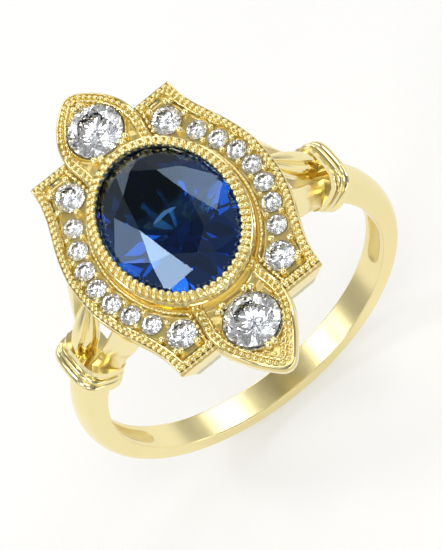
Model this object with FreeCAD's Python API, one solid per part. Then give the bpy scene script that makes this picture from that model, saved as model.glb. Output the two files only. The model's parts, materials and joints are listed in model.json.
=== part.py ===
"""Engagement ring: yellow-gold shank and openwork shoulders carrying a marquise-shaped
milgrain halo, with an oval blue sapphire in a tall bezel and twenty round diamonds.

Frame: origin at the centre of the finger bore, +Y along the finger, +X to the right
shoulder, +Z up through the head.  Millimetres.
"""
import FreeCAD
import Part
import math
import os

V = FreeCAD.Vector

# ---------------------------------------------------------------- driving dimensions
BORE_R = 8.65            # finger bore, 17.3 mm inside diameter
SHANK_HALF_W = 0.854     # half of the band width along the finger
EDGE_R = 9.46            # outer edge of the band at the bottom
CROWN = 0.35             # how far the outer face is domed above its edges
SHOULDER_GROWTH = 0.54   # extra band thickness reached 30 degrees above the sides
SHOULDER_DEG = 38.0      # angle of the collars above the horizontal
POCKET_DEPTH = 0.42      # scooped recess on the inside of the band, under each shoulder
POCKET_HALF_W = 0.40

COLLAR_START, COLLAR_END = -0.35, 1.30   # along the band, from the collar's ridge
RIDGE_HALF_W, RIDGE_R = 1.85, 11.15      # the big rim of the collar

HALO_TOP = 11.70         # top of the milgrain border
HALO_FLOOR = 11.45       # recessed floor that carries the stones
HALO_BAND = 11.20        # lower limit of the upright edge band
HALO_BOTTOM = 9.75
HALO_END_Y = 6.85        # straight ends between the pointed corners
HALO_TAPER = 0.90        # how far the skirt leans in, on the sides
HALO_TAPER_END = 0.30    # and at the ends
BORDER = 0.42            # outer border width
INNER_BORDER = 0.33      # border round the bezel and beside the tip collets
# half width of the halo at distances along the finger, an ogee that flares at the corner
HALO_SIDE = [(0.0, 6.05), (1.0, 6.00), (2.0, 5.82), (3.0, 5.52), (4.0, 5.14),
             (5.0, 4.78), (6.0, 4.55), (6.85, 4.48)]

BEZEL_A, BEZEL_B = 4.05, 5.08            # outside half axes, across and along the finger
BEZEL_TOP = 12.62
BEZEL_WAIST = 10.60                      # below this the cup tapers to the gallery
CUP_A, CUP_B = 3.30, 4.10
GALLERY_A, GALLERY_B = 4.15, 4.45        # base ring between the head and the finger
BRIDGE_HALF_W, BRIDGE_TOP = 0.85, 9.10

TIP_SHAPE = [(5.0, 2.10), (6.5, 2.28), (7.0, 2.23), (7.5, 2.13), (8.0, 1.94),
             (8.5, 1.68), (9.0, 1.34), (9.6, 0.80), (10.2, 0.0)]
TIP_TOP, TIP_DROOP = 11.82, 0.70         # the leaf tips bend down towards the finger
TIP_BOTTOM = 10.05

SAPPHIRE_L, SAPPHIRE_W = 9.0, 7.0
SAPPHIRE_Z = 12.30
TIP_STONE_D, TIP_STONE_Y, TIP_STONE_Z = 3.0, 7.106, 11.80
CORNER_STONE_D, CORNER_STONE_XY, CORNER_STONE_Z = 1.65, (3.143, 5.122), 11.56
SIDE_STONE_D, SIDE_STONE_Z = 1.10, 11.52
SIDE_STONES = [(5.033, 0.0), (4.911, 1.214), (4.544, 2.413), (4.012, 3.598)]

CLEAR = 0.01             # air between a stone and its seat


# ---------------------------------------------------------------- small helpers
def save(shape, name):
    shape.exportStep("parts/" + name + ".step")


def polar(deg, r, y):
    """Point at an angle above +X, a radius from the bore axis and a place along it."""
    a = math.radians(deg)
    return V(r * math.cos(a), y, r * math.sin(a))


def closed_spline(points):
    curve = Part.BSplineCurve()
    curve.interpolate(points, PeriodicFlag=True)
    return Part.Wire([curve.toShape()])


def closed_polygon(points):
    return Part.makePolygon(list(points) + [points[0]])


def prism(points, z0, z1):
    """Upright prism on a plan outline given as (x, y) pairs."""
    face = Part.Face(closed_polygon([V(x, y, z0) for x, y in points]))
    return face.extrude(V(0, 0, z1 - z0))


def oval_wire(a, b, z):
    big, small = max(a, b), min(a, b)
    curve = Part.Ellipse(V(0, 0, z), big, small)
    wire = Part.Wire([curve.toShape()])
    if b > a:
        wire.rotate(V(0, 0, z), V(0, 0, 1), 90)
    return wire


def oval_prism(a, b, z0, z1):
    return Part.Face(oval_wire(a, b, z0)).extrude(V(0, 0, z1 - z0))


def oval_loft(a0, b0, z0, a1, b1, z1):
    return Part.makeLoft([oval_wire(a0, b0, z0), oval_wire(a1, b1, z1)], True, True)


def interpolate(table, t):
    """Smooth (monotone cubic) value of a table of (t, value) pairs."""
    n = len(table)
    h = [table[i + 1][0] - table[i][0] for i in range(n - 1)]
    d = [(table[i + 1][1] - table[i][1]) / h[i] for i in range(n - 1)]
    m = [d[0]]
    for i in range(1, n - 1):
        m.append(0.0 if d[i - 1] * d[i] <= 0 else 2 * d[i - 1] * d[i] / (d[i - 1] + d[i]))
    m.append(d[-1])
    i = max(0, min(n - 2, next((k for k in range(n - 1) if t <= table[k + 1][0]), n - 2)))
    u = (t - table[i][0]) / h[i]
    y0, y1 = table[i][1], table[i + 1][1]
    return ((2 * u ** 3 - 3 * u ** 2 + 1) * y0 + (u ** 3 - 2 * u ** 2 + u) * h[i] * m[i]
            + (3 * u ** 2 - 2 * u ** 3) * y1 + (u ** 3 - u ** 2) * h[i] * m[i + 1])


def mirror_x(shape):
    return shape.mirror(V(0, 0, 0), V(1, 0, 0))


def mirror_y(shape):
    return shape.mirror(V(0, 0, 0), V(0, 1, 0))


def bore_cutter(r=BORE_R):
    return Part.makeCylinder(r, 40, V(0, -20, 0), V(0, 1, 0))


# ---------------------------------------------------------------- cut stones
def clip(faces, normal, distance):
    """Cut a convex solid, held as a list of polygons, by the plane normal.p = distance."""
    kept, rim = [], []
    for poly in faces:
        out = []
        for i, p in enumerate(poly):
            q = poly[(i + 1) % len(poly)]
            dp, dq = normal.dot(p) - distance, normal.dot(q) - distance
            if dp <= 1e-9:
                out.append(p)
            if (dp < -1e-9 and dq > 1e-9) or (dp > 1e-9 and dq < -1e-9):
                cut = p + (q - p) * (dp / (dp - dq))
                out.append(cut)
                rim.append(cut)
            elif abs(dp) <= 1e-9:
                rim.append(p)
        if len(out) > 2:
            kept.append(out)
    loop = []
    for p in rim:
        if all((p - q).Length > 1e-6 for q in loop):
            loop.append(p)
    if len(loop) > 2:
        centre = V(0, 0, 0)
        for p in loop:
            centre += p * (1.0 / len(loop))
        side = (loop[0] - centre).normalize()
        up = normal.cross(side)
        loop.sort(key=lambda p: math.atan2((p - centre).dot(up), (p - centre).dot(side)))
        kept.append(loop)
    return kept


def brilliant(table=0.56, crown=0.16, girdle=0.03, pavilion=0.43):
    """Facets of a round brilliant one unit across, girdle's middle plane at z = 0."""
    s = 0.6
    box = [[V(*c) for c in face] for face in (
        [(-s, -s, -s), (-s, s, -s), (s, s, -s), (s, -s, -s)],
        [(-s, -s, s), (s, -s, s), (s, s, s), (-s, s, s)],
        [(-s, -s, -s), (s, -s, -s), (s, -s, s), (-s, -s, s)],
        [(s, -s, -s), (s, s, -s), (s, s, s), (s, -s, s)],
        [(s, s, -s), (-s, s, -s), (-s, s, s), (s, s, s)],
        [(-s, s, -s), (-s, -s, -s), (-s, -s, s), (-s, s, s)])]

    def facets(faces, count, turn, points):
        # a ring of equal facets through two points of the profile (radius, height)
        (r0, z0), (r1, z1) = points
        length = math.hypot(r1 - r0, z1 - z0)
        nr, nz = abs(z1 - z0) / length, math.copysign(abs(r1 - r0) / length, z0 + z1)
        for k in range(count):
            a = 2 * math.pi * (k + turn) / count
            n = V(nr * math.cos(a), nr * math.sin(a), nz)
            faces = clip(faces, n, nr * r0 + nz * z0)
        return faces

    g = girdle / 2
    inner = 0.5 * math.cos(math.pi / 16)
    top = crown + g
    star_r = table / 2 * math.cos(math.pi / 8)
    faces = clip(box, V(0, 0, 1), top)
    faces = facets(faces, 16, 0.5, ((inner, -g), (inner, g)))
    faces = facets(faces, 8, 0.0, ((0.5, g), (table / 2, top)))
    faces = facets(faces, 8, 0.5, ((star_r, top), (0.405, g + crown * 0.32)))
    faces = facets(faces, 16, 0.5, ((inner, g), (0.432, g + crown * 0.34)))
    faces = facets(faces, 8, 0.0, ((0.5, -g), (0.0, -g - pavilion)))
    faces = facets(faces, 16, 0.5, ((inner, -g), (0.100, -g - pavilion * 0.83)))
    return faces


def stone(length, width, centre, **cut):
    """Faceted stone, length along the finger, seated at its girdle."""
    scale = max(length, width)
    faces = []
    for poly in brilliant(**cut):
        pts = [V(p.x * width, p.y * length, p.z * scale) + centre for p in poly]
        faces.append(Part.Face(closed_polygon(pts)))
    return Part.makeSolid(Part.makeShell(faces))


def seat(d, centre, floor_z, girdle=0.03, pavilion=0.43):
    """Drill that opens a seat under a round stone: a cone, and a hole right through."""
    r, low = d / 2 + CLEAR, centre.z - d * girdle / 2
    deep = 0.62
    hole_r = r * (1 - deep) * 1.12
    cone = Part.makeCone(hole_r, r, d * pavilion * deep,
                         V(centre.x, centre.y, low - d * pavilion * deep - CLEAR))
    above = Part.makeCylinder(r, 3, V(centre.x, centre.y, low - CLEAR))
    through = Part.makeCylinder(hole_r, 6, V(centre.x, centre.y, floor_z - 4))
    return cone.fuse(above).fuse(through)


# ---------------------------------------------------------------- shank
def band_section(deg):
    """Cross-section of the band: flat inside, flat sides, softly domed outside."""
    rise = max(0.0, (deg + 90.0) / 120.0)
    edge = EDGE_R + SHOULDER_GROWTH * rise ** 4.2
    w = SHANK_HALF_W
    half = [(0.0, BORE_R - 0.2), (w - 0.05, BORE_R - 0.2), (w - 0.05, BORE_R),
            (w, BORE_R + 0.07), (w, edge - 0.08), (w - 0.06, edge + 0.04),
            (w * 0.75, edge + CROWN * 0.48), (w * 0.45, edge + CROWN * 0.82),
            (0.0, edge + CROWN)]
    return half + [(-y, r) for y, r in reversed(half[1:-1])]


def shank():
    wires = []
    steps = 16
    for i in range(steps + 1):
        deg = -90 + (SHOULDER_DEG + 1 + 90) * i / steps
        wires.append(closed_polygon([polar(deg, r, y) for y, r in band_section(deg)]))
    right = Part.makeLoft(wires, True, False)
    band = right.fuse(mirror_x(right)).cut(bore_cutter())
    for side in (1, -1):
        band = band.cut(collar_half_space(side))
        band = band.cut(pocket(side))
    return band


def pocket(side):
    """Scooped recess with rounded ends on the inside of the band, running up and down."""
    parts = []
    low, high = -28.0, -8.0
    r = BORE_R - 1.0
    depth = 1.0 + POCKET_DEPTH
    for deg in (low, high):
        a = polar(deg, 1.0, 0)
        parts.append(Part.makeCylinder(POCKET_HALF_W, depth, a * r, a))
    ring = Part.makeCylinder(r + depth, 2 * POCKET_HALF_W, V(0, -POCKET_HALF_W, 0), V(0, 1, 0))
    ring = ring.cut(bore_cutter(r))
    wedge = Part.Face(closed_polygon([V(0, 0, 0), polar(low, 14, 0), polar(high, 14, 0)]))
    wedge.translate(V(0, -2, 0))
    scoop = ring.common(wedge.extrude(V(0, 4, 0)))
    for p in parts:
        scoop = scoop.fuse(p)
    return scoop if side > 0 else mirror_x(scoop)


# ---------------------------------------------------------------- shoulders
E_R = polar(SHOULDER_DEG, 1.0, 0.0)          # outwards through the collar
E_T = polar(SHOULDER_DEG + 90.0, 1.0, 0.0)   # along the band, towards the head


def at_collar(t, r, y):
    return E_R * r + E_T * t + V(0, y, 0)


def collar_half_space(side):
    """Everything from the collar's lower face up to the head, on one side."""
    c = [at_collar(COLLAR_START, r, 0) for r in (6.0, 14.0)]
    c += [at_collar(12, r, 0) for r in (14.0, 6.0)]
    face = Part.Face(closed_polygon(c))
    face.translate(V(0, -6, 0))
    block = face.extrude(V(0, 12, 0))
    return block if side > 0 else mirror_x(block)


def collar_loop(t, half_w, outer_r, power=3.0):
    """Rounded-square loop round the band, at a place along it."""
    low = BORE_R - 0.35
    mid, half_h = (outer_r + low) / 2, (outer_r - low) / 2
    pts = []
    for k in range(32):
        a = 2 * math.pi * (k + 0.5) / 32
        c, s = math.cos(a), math.sin(a)
        pts.append(at_collar(t, mid + half_h * math.copysign(abs(s) ** (2 / power), s),
                             half_w * math.copysign(abs(c) ** (2 / power), c)))
    return closed_spline(pts)


def collar():
    """Saddle wrap with two rims, a groove between them and a hollow towards the head."""
    w, r = RIDGE_HALF_W, RIDGE_R
    profile = [(COLLAR_START, 0.40), (-0.28, 0.12), (-0.10, 0.0), (0.10, 0.02),
               (0.22, 0.13), (0.32, 0.10), (0.50, 0.02), (0.68, 0.08), (0.80, 0.28),
               (0.95, 0.48), (1.15, 0.55), (COLLAR_END, 0.52)]
    wires = [collar_loop(t, w - drop * 0.75, r - drop) for t, drop in profile]
    body = Part.makeLoft(wires, True, False)
    return body.cut(bore_cutter())


def strap(sections):
    """Flat strap lofted through four-cornered sections."""
    return Part.makeLoft([closed_polygon(s) for s in sections], True, False)


def branch(collar_solid, hull):
    """Front right branch: leaves the collar's front side and flares under the halo."""
    stations = [  # outer-upper corner, outer-lower corner of the visible face
        (at_collar(0.90, 10.38, -0.74), at_collar(0.90, 9.05, -1.52)),
        (V(7.10, -0.98, 7.75), V(6.42, -1.82, 6.95)),
        (V(6.72, -1.26, 8.55), V(6.02, -2.30, 8.00)),
        (V(6.22, -1.60, 9.45), V(5.62, -2.92, 9.15)),
        (V(5.62, -1.85, 10.50), V(5.02, -3.50, 10.40))]
    inward = [V(-0.42, 0.28, -0.30), V(-0.44, 0.30, -0.32), V(-0.46, 0.36, -0.26),
              V(-0.50, 0.42, -0.12), V(-0.55, 0.40, 0.0)]
    sections = [[a, b, b + d, a + d] for (a, b), d in zip(stations, inward)]
    return strap(sections).cut(collar_solid).cut(hull).cut(bore_cutter())


def shoulder_leaf(collar_solid, hull):
    """Bulging petal with lengthwise flutes, from the collar up to the halo's edge."""
    stations = [  # centre x, z, half width along the finger, half thickness
        (7.34, 7.06, 0.42, 0.62), (7.18, 7.75, 0.58, 0.74), (6.88, 8.55, 0.70, 0.78),
        (6.50, 9.35, 0.68, 0.68), (6.08, 10.15, 0.50, 0.50), (5.66, 10.90, 0.26, 0.30)]
    lean = V(-0.47, 0, 0.88)
    across = V(lean.z, 0, -lean.x)
    wires = []
    for x, z, half_w, half_t in stations:
        pts = []
        for k in range(28):
            a = 2 * math.pi * k / 28
            flute = 1.0 - 0.13 * max(0.0, math.cos(4 * (a - math.pi / 2)) * -1.0)
            if math.sin(a) < 0:
                flute = 1.0
            pts.append(V(x, 0, z) + across * (half_t * math.sin(a) * flute)
                       + V(0, half_w * math.cos(a) * flute, 0))
        wires.append(closed_spline(pts))
    petal = Part.makeLoft(wires, True, False)
    return petal.cut(collar_solid).cut(hull)


# ---------------------------------------------------------------- head
def side_points(inset=0.0, end_inset=0.0, count=20):
    """Right-hand edge of the halo from its rear corner to its front one, moved inwards."""
    end = HALO_END_Y - end_inset
    pts = []
    for i in range(-count, count + 1):
        y = end * i / count
        t = abs(y)
        slope = (interpolate(HALO_SIDE, min(t + 0.05, HALO_END_Y))
                 - interpolate(HALO_SIDE, max(t - 0.05, 0.0))) / 0.1
        pts.append((interpolate(HALO_SIDE, t) - inset * math.sqrt(1 + slope ** 2), y))
    return pts


def halo_outline(inset=0.0, end_inset=0.0):
    right = side_points(inset, end_inset)
    return right + [(-x, y) for x, y in reversed(right)]


def halo_wire(z, inset=0.0, end_inset=0.0):
    def edge(points):
        curve = Part.BSplineCurve()
        curve.interpolate([V(x, y, z) for x, y in points])
        return curve.toShape()
    right = side_points(inset, end_inset)
    left = [(-x, y) for x, y in reversed(right)]
    ends = [Part.makeLine(V(*right[-1], z), V(*left[0], z)),
            Part.makeLine(V(*left[-1], z), V(*right[0], z))]
    return Part.Wire([edge(right), ends[0], edge(left), ends[1]])


def halo_prism(z0, z1, inset=0.0, end_inset=0.0):
    return Part.Face(halo_wire(z0, inset, end_inset)).extrude(V(0, 0, z1 - z0))


def halo_hull():
    band = halo_prism(HALO_BAND, HALO_TOP)
    skirt = Part.makeLoft([halo_wire(HALO_BOTTOM, HALO_TAPER, HALO_TAPER_END),
                           halo_wire(HALO_BAND)], True, True)
    return band.fuse(skirt).removeSplitter()


def tip_outline(grow=0.0, start=4.2):
    """Pointed leaf in plan (rear one, +Y), widened or narrowed by grow."""
    apex = TIP_SHAPE[-1][0] + grow * 1.55
    right = []
    steps = 18
    for i in range(steps + 1):
        y = 5.2 + (apex - 5.2) * i / steps
        u = y - grow * 1.55 * max(0.0, (y - 7.0) / (apex - 7.0))
        side = interpolate(TIP_SHAPE, min(u, TIP_SHAPE[-1][0]))
        slack = grow if y < apex - 1.2 else grow * (apex - y) / 1.2
        right.append((max(0.0, side + slack) if i < steps else 0.0, y))
    left = [(-x, y) for x, y in reversed(right[:-1])]
    return [(right[0][0], start)] + right + left + [(-right[0][0], start)]


def tip_envelope(drop=0.0, bottom=TIP_BOTTOM):
    """Space between the drooping top surface of a rear tip and its underside."""
    top = []
    for i in range(13):
        y = 4.0 + (10.6 - 4.0) * i / 12
        bend = max(0.0, (y - 7.8) / (10.2 - 7.8))
        top.append(V(-4, y, TIP_TOP - drop - TIP_DROOP * bend ** 1.7))
    curve = Part.BSplineCurve()
    curve.interpolate(top)
    a, b = V(-4, 10.6, bottom - 0.1), V(-4, 4.0, bottom)
    edges = [curve.toShape(), Part.makeLine(top[-1], a), Part.makeLine(a, b),
             Part.makeLine(b, top[0])]
    return Part.Face(Part.Wire(edges)).extrude(V(8, 0, 0))


def tip_hull():
    return prism(tip_outline(), TIP_BOTTOM - 1, TIP_TOP + 1).common(tip_envelope())


def bezel_hull():
    tube = oval_prism(BEZEL_A, BEZEL_B, BEZEL_WAIST, BEZEL_TOP)
    cup = oval_loft(CUP_A, CUP_B, HALO_BOTTOM, BEZEL_A, BEZEL_B, BEZEL_WAIST)
    return tube.fuse(cup).removeSplitter()


def bezel():
    """Tall oval collar with a seat for the sapphire and an open cup underneath."""
    body = bezel_hull()
    w, l = SAPPHIRE_W / 2 + CLEAR, SAPPHIRE_L / 2 + CLEAR
    low = SAPPHIRE_Z - 0.10
    body = body.cut(oval_prism(w, l, low, BEZEL_TOP + 1))
    body = body.cut(oval_loft(CUP_A - 0.75, CUP_B - 0.75, HALO_BOTTOM - 0.01, w, l, low))
    return body


def gallery():
    """Oval base ring with a bridge across it, its underside curved to the finger."""
    body = oval_prism(GALLERY_A, GALLERY_B, BORE_R - 3.0, HALO_BOTTOM)
    body = body.cut(oval_prism(CUP_A - 0.75, CUP_B - 0.75, BORE_R - 4.0, HALO_BOTTOM + 1))
    bar = Part.makeBox(2 * GALLERY_A, 2 * BRIDGE_HALF_W, BRIDGE_TOP - 6,
                       V(-GALLERY_A, -BRIDGE_HALF_W, 6))
    bar = bar.common(oval_prism(GALLERY_A, GALLERY_B, 5, 12))
    return body.fuse(bar).cut(bore_cutter())


def stones_right():
    """Centres and diameters of the right-hand halo stones, rear to front."""
    x, y = CORNER_STONE_XY
    small = [(sx, sy) for sx, sy in reversed(SIDE_STONES)]
    small += [(sx, -sy) for sx, sy in SIDE_STONES[1:]]
    spots = [(CORNER_STONE_D, V(x, y, CORNER_STONE_Z))]
    spots += [(SIDE_STONE_D, V(sx, sy, SIDE_STONE_Z)) for sx, sy in small]
    return spots + [(CORNER_STONE_D, V(x, -y, CORNER_STONE_Z))]


def halo_panel(hull):
    """Right-hand panel: raised borders, sunk floor, drilled seats and a hollow back."""
    bezel_gap = oval_prism(BEZEL_A, BEZEL_B, 8, 14)
    bezel_rim = oval_prism(BEZEL_A + INNER_BORDER, BEZEL_B + INNER_BORDER, 8, 14)
    bezel_wall = oval_prism(BEZEL_A + 0.4, BEZEL_B + 0.4, 8, 14)
    tip_gap = prism(tip_outline(), 8, 14)
    tip_rim = prism(tip_outline(0.24), 8, 14)
    tip_wall = prism(tip_outline(0.4), 8, 14)
    keep = Part.makeBox(8, 20, 10, V(0, -10, 6))
    panel = hull.common(keep).cut(bezel_gap)
    recess = halo_prism(HALO_FLOOR, 13, BORDER, BORDER).common(keep).cut(bezel_rim)
    hollow = halo_prism(HALO_BOTTOM - 1, 10.75, HALO_TAPER + 0.45, 0.8).common(keep)
    hollow = hollow.cut(bezel_wall)
    for mirror in (False, True):
        gap, rim, wall = (mirror_y(s) if mirror else s for s in (tip_gap, tip_rim, tip_wall))
        panel, recess, hollow = panel.cut(gap), recess.cut(rim), hollow.cut(wall)
    panel = panel.cut(recess).cut(hollow)
    for d, centre in stones_right():
        panel = panel.cut(seat(d, centre, HALO_FLOOR))
    return biggest(panel)


def tip_collet():
    """Rear tip: pointed leaf with a raised border round the sunk bed of its diamond."""
    body = tip_hull().cut(oval_prism(BEZEL_A, BEZEL_B, 8, 14))
    bed = prism(tip_outline(-0.42, 5.3), 8, 14).common(tip_envelope(0.30, 11.0))
    bed = bed.fuse(prism(tip_outline(-0.42, 5.3), 11.4, 14).common(
        tip_envelope(0.30, 11.0).translated(V(0, 0, 0.6))))
    bed = bed.cut(Part.makeBox(20, 20, 20, V(-10, -10, TIP_TOP - 0.30 - 20)))
    outer_bed = prism(tip_outline(-0.42, 5.3), 8, 14).cut(tip_envelope(0.30, 5.0))
    body = body.cut(outer_bed.cut(oval_prism(BEZEL_A + 0.3, BEZEL_B + 0.3, 8, 14)))
    centre = V(0, TIP_STONE_Y, TIP_STONE_Z)
    return biggest(body.cut(seat(TIP_STONE_D, centre, TIP_TOP)))


def biggest(shape):
    return max(shape.Solids, key=lambda s: s.Volume)


# ---------------------------------------------------------------- beads and prongs
def bead(x, y, floor, top, r):
    """Rounded grain of gold raised beside a stone."""
    post = Part.makeCylinder(r, top - r - floor, V(x, y, floor))
    return post.fuse(Part.makeSphere(r, V(x, y, top - r))).removeSplitter()


def between(p, q, offset):
    """Two points beside the middle of the gap between neighbouring stones."""
    along = V(q.x - p.x, q.y - p.y, 0).normalize()
    across = V(-along.y, along.x, 0)
    mid = V((p.x + q.x) / 2, (p.y + q.y) / 2, 0)
    return [mid + across * offset, mid - across * offset]


def four_ways(points):
    return [(sx * x, sy * y) for x, y in points for sx in (1, -1) for sy in (1, -1)]


def pave_beads():
    spots = []
    row = [c for d, c in stones_right()[1:-1]]
    for p, q in zip(row, row[1:]):
        for m in between(p, q, 0.42):
            spots += [(m.x, m.y), (-m.x, m.y)]
    return [bead(x, y, HALO_FLOOR, 11.74, 0.14) for x, y in spots]


def corner_prongs():
    cx, cy = CORNER_STONE_XY
    arms = [(0.72, 0.78), (-0.42, 0.96), (1.02, -0.42), (0.20, -1.06)]
    spots = four_ways([(cx + dx, cy + dy) for dx, dy in arms])
    return [bead(x, y, HALO_FLOOR, 11.80, 0.17) for x, y in spots]


def tip_prongs(collet):
    """Split grains round each tip diamond: two beside the bezel, one at the outer tip."""
    floor = TIP_TOP - 0.30
    spots = [(0.98, 5.66), (-0.98, 5.66), (0.66, 5.52), (-0.66, 5.52)]
    beads = [bead(x, y, floor, 12.02, 0.16) for x, y in spots]
    beads += [bead(x, 8.80, floor - 0.35, 11.98, 0.17).cut(collet) for x in (0.17, -0.17)]
    return beads + [mirror_y(b) for b in beads]


# ---------------------------------------------------------------- build
def main():
    os.makedirs("parts", exist_ok=True)
    save(shank(), "shank")

    wrap = collar()
    hull = halo_hull()
    petal = biggest(shoulder_leaf(wrap, hull))
    arm = biggest(branch(wrap, hull))
    save(wrap, "right_collar")
    save(mirror_x(wrap), "left_collar")
    save(petal, "right_shoulder_leaf")
    save(mirror_x(petal), "left_shoulder_leaf")
    save(arm, "right_front_branch")
    save(mirror_x(arm), "left_front_branch")
    save(mirror_y(arm), "right_rear_branch")
    save(mirror_x(mirror_y(arm)), "left_rear_branch")

    panel = halo_panel(hull)
    save(panel, "right_halo_panel")
    save(mirror_x(panel), "left_halo_panel")
    collet = tip_collet()
    save(collet, "rear_tip_collet")
    save(mirror_y(collet), "front_tip_collet")
    save(bezel(), "centre_bezel")
    save(gallery(), "gallery_base")

    save(Part.makeCompound(pave_beads()), "pave_beads")
    save(Part.makeCompound(corner_prongs()), "corner_prongs")
    save(Part.makeCompound(tip_prongs(collet)), "tip_prongs")

    oval = dict(table=0.50, crown=0.115, girdle=0.015, pavilion=0.34)
    save(stone(SAPPHIRE_L, SAPPHIRE_W, V(0, 0, SAPPHIRE_Z), **oval), "sapphire")
    for name, sy in (("rear", 1), ("front", -1)):
        spot = V(0, sy * TIP_STONE_Y, TIP_STONE_Z)
        save(stone(TIP_STONE_D, TIP_STONE_D, spot), name + "_tip_diamond")
    for side, sx in (("right", 1), ("left", -1)):
        row = stones_right()
        for (d, c), end in ((row[0], "rear"), (row[-1], "front")):
            save(stone(d, d, V(sx * c.x, c.y, c.z)), side + "_" + end + "_corner_diamond")
        for n, (d, c) in enumerate(row[1:-1], 1):
            save(stone(d, d, V(sx * c.x, c.y, c.z)), "%s_side_diamond_%d" % (side, n))


main()
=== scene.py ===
"""Looks of the engagement ring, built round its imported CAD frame.

Shapes are worked out in millimetres in the row frame (bore centre at the origin, +Y along
the finger, +Z up through the head) and become metres in add_mesh().
"""

import json
import math

import bmesh
import bpy
import numpy as np
from mathutils import Matrix, Vector

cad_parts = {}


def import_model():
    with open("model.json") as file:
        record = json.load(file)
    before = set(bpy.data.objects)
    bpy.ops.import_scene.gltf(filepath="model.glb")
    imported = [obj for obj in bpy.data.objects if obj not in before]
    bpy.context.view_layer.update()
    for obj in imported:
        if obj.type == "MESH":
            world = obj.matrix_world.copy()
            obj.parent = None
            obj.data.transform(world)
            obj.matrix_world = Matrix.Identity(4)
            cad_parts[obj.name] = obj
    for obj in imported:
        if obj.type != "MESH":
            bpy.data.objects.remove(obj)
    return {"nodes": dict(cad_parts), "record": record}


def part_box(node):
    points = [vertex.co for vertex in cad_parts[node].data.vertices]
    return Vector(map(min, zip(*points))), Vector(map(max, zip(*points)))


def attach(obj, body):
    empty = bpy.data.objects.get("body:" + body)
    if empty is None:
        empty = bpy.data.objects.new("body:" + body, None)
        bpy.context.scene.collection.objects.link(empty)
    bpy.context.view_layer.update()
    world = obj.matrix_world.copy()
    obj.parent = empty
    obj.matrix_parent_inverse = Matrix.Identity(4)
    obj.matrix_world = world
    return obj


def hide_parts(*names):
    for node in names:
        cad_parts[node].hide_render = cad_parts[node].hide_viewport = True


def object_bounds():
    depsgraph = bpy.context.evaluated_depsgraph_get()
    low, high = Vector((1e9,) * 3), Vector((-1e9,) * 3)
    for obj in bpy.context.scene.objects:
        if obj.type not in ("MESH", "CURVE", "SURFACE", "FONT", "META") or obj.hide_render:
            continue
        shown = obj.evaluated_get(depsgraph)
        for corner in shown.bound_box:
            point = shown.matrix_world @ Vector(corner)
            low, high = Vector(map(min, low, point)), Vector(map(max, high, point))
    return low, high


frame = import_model()
CAD_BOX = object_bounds()
MM = 0.001
SHARP_DEG = 40.0  # edges that turn by more than this stay crisp

# ---- driving dimensions
BORE_R = frame["record"]["mounts"][0]["dims"]["r_mm"]


def box_mm(node):
    low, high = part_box(node)
    return np.array(low) / MM, np.array(high) / MM


SHANK_HALF_W = box_mm("shank")[1][1]
EDGE_R, CROWN = 9.46, 0.35  # outer edge at the bottom, and the dome above it
CROWN_LIP, CROWN_POWER = 0.08, 1.3  # the dome's rolled edge, and how full the dome is
EDGE_BEVEL = 0.07  # rounding of the inner edges
SHOULDER_DEG = 38.0  # angle of the collars above the horizontal
GROWTH, GROWTH_SPAN_DEG, GROWTH_POWER = 0.535, 120.0, 4.2  # thickening from the bottom up
POCKET_DEG, POCKET_HALF_W, POCKET_DEPTH = (-28.0, -9.0), 0.50, 0.22

HALO_TOP, HALO_FLOOR, HALO_BAND = 11.70, 11.45, 11.20
HALO_BOTTOM = box_mm("right_halo_panel")[0][2]
HALO_END_Y = box_mm("right_halo_panel")[1][1]
HALO_SIDE = [(0.0, 6.05), (1.0, 6.00), (2.0, 5.82), (3.0, 5.52), (4.0, 5.14),
             (5.0, 4.78), (6.0, 4.55), (6.85, 4.48)]

BEZEL_A, BEZEL_B = box_mm("centre_bezel")[1][:2]
BEZEL_WAIST = 10.60
CUP_A, CUP_B = 3.30, 4.10
RIM_IN = 0.62  # width of the bezel's top, from its outside to the stone
BEARING_GAP = 0.22  # between the stone's pavilion and the taper inside the bezel

TIP_SHAPE = [(4.0, 2.08), (5.0, 2.10), (6.5, 2.28), (7.0, 2.23), (7.5, 2.13), (8.0, 1.94),
             (8.5, 1.68), (9.0, 1.37), (9.6, 0.88), (10.0, 0.49), (10.14, 0.27), (10.2, 0.0)]
TIP_ROOT_Y = 4.2  # where the tip's outline leaves the bezel
TIP_APEX = box_mm("rear_tip_collet")[1][1]
TIP_TOP, TIP_DROOP, TIP_BOTTOM = 11.82, 0.70, 10.05
TIP_STONE_Y = sum(corner[1] for corner in box_mm("rear_tip_diamond")) / 2


# ---- small helpers
def polar(deg, r, y=0.0):
    a = np.radians(deg)
    return np.array([r * np.cos(a), y, r * np.sin(a)])


def smoothstep(x):
    x = np.clip(x, 0.0, 1.0)
    return x * x * (3 - 2 * x)


def interpolate(table, t):
    """Smooth monotone curve through a table of (t, value), for a number or an array."""
    ts = np.array([p[0] for p in table], float)
    vs = np.array([p[1] for p in table], float)
    h = np.diff(ts)
    d = np.diff(vs) / h
    m = np.empty(len(ts))
    m[0], m[-1] = d[0], d[-1]
    for i in range(1, len(ts) - 1):
        m[i] = 0.0 if d[i - 1] * d[i] <= 0 else 2 * d[i - 1] * d[i] / (d[i - 1] + d[i])
    t = np.clip(np.asarray(t, float), ts[0], ts[-1])
    i = np.clip(np.searchsorted(ts, t, side="right") - 1, 0, len(h) - 1)
    u = (t - ts[i]) / h[i]
    return ((2 * u ** 3 - 3 * u ** 2 + 1) * vs[i] + (u ** 3 - 2 * u ** 2 + u) * h[i] * m[i]
            + (3 * u ** 2 - 2 * u ** 3) * vs[i + 1] + (u ** 3 - u ** 2) * h[i] * m[i + 1])


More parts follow.
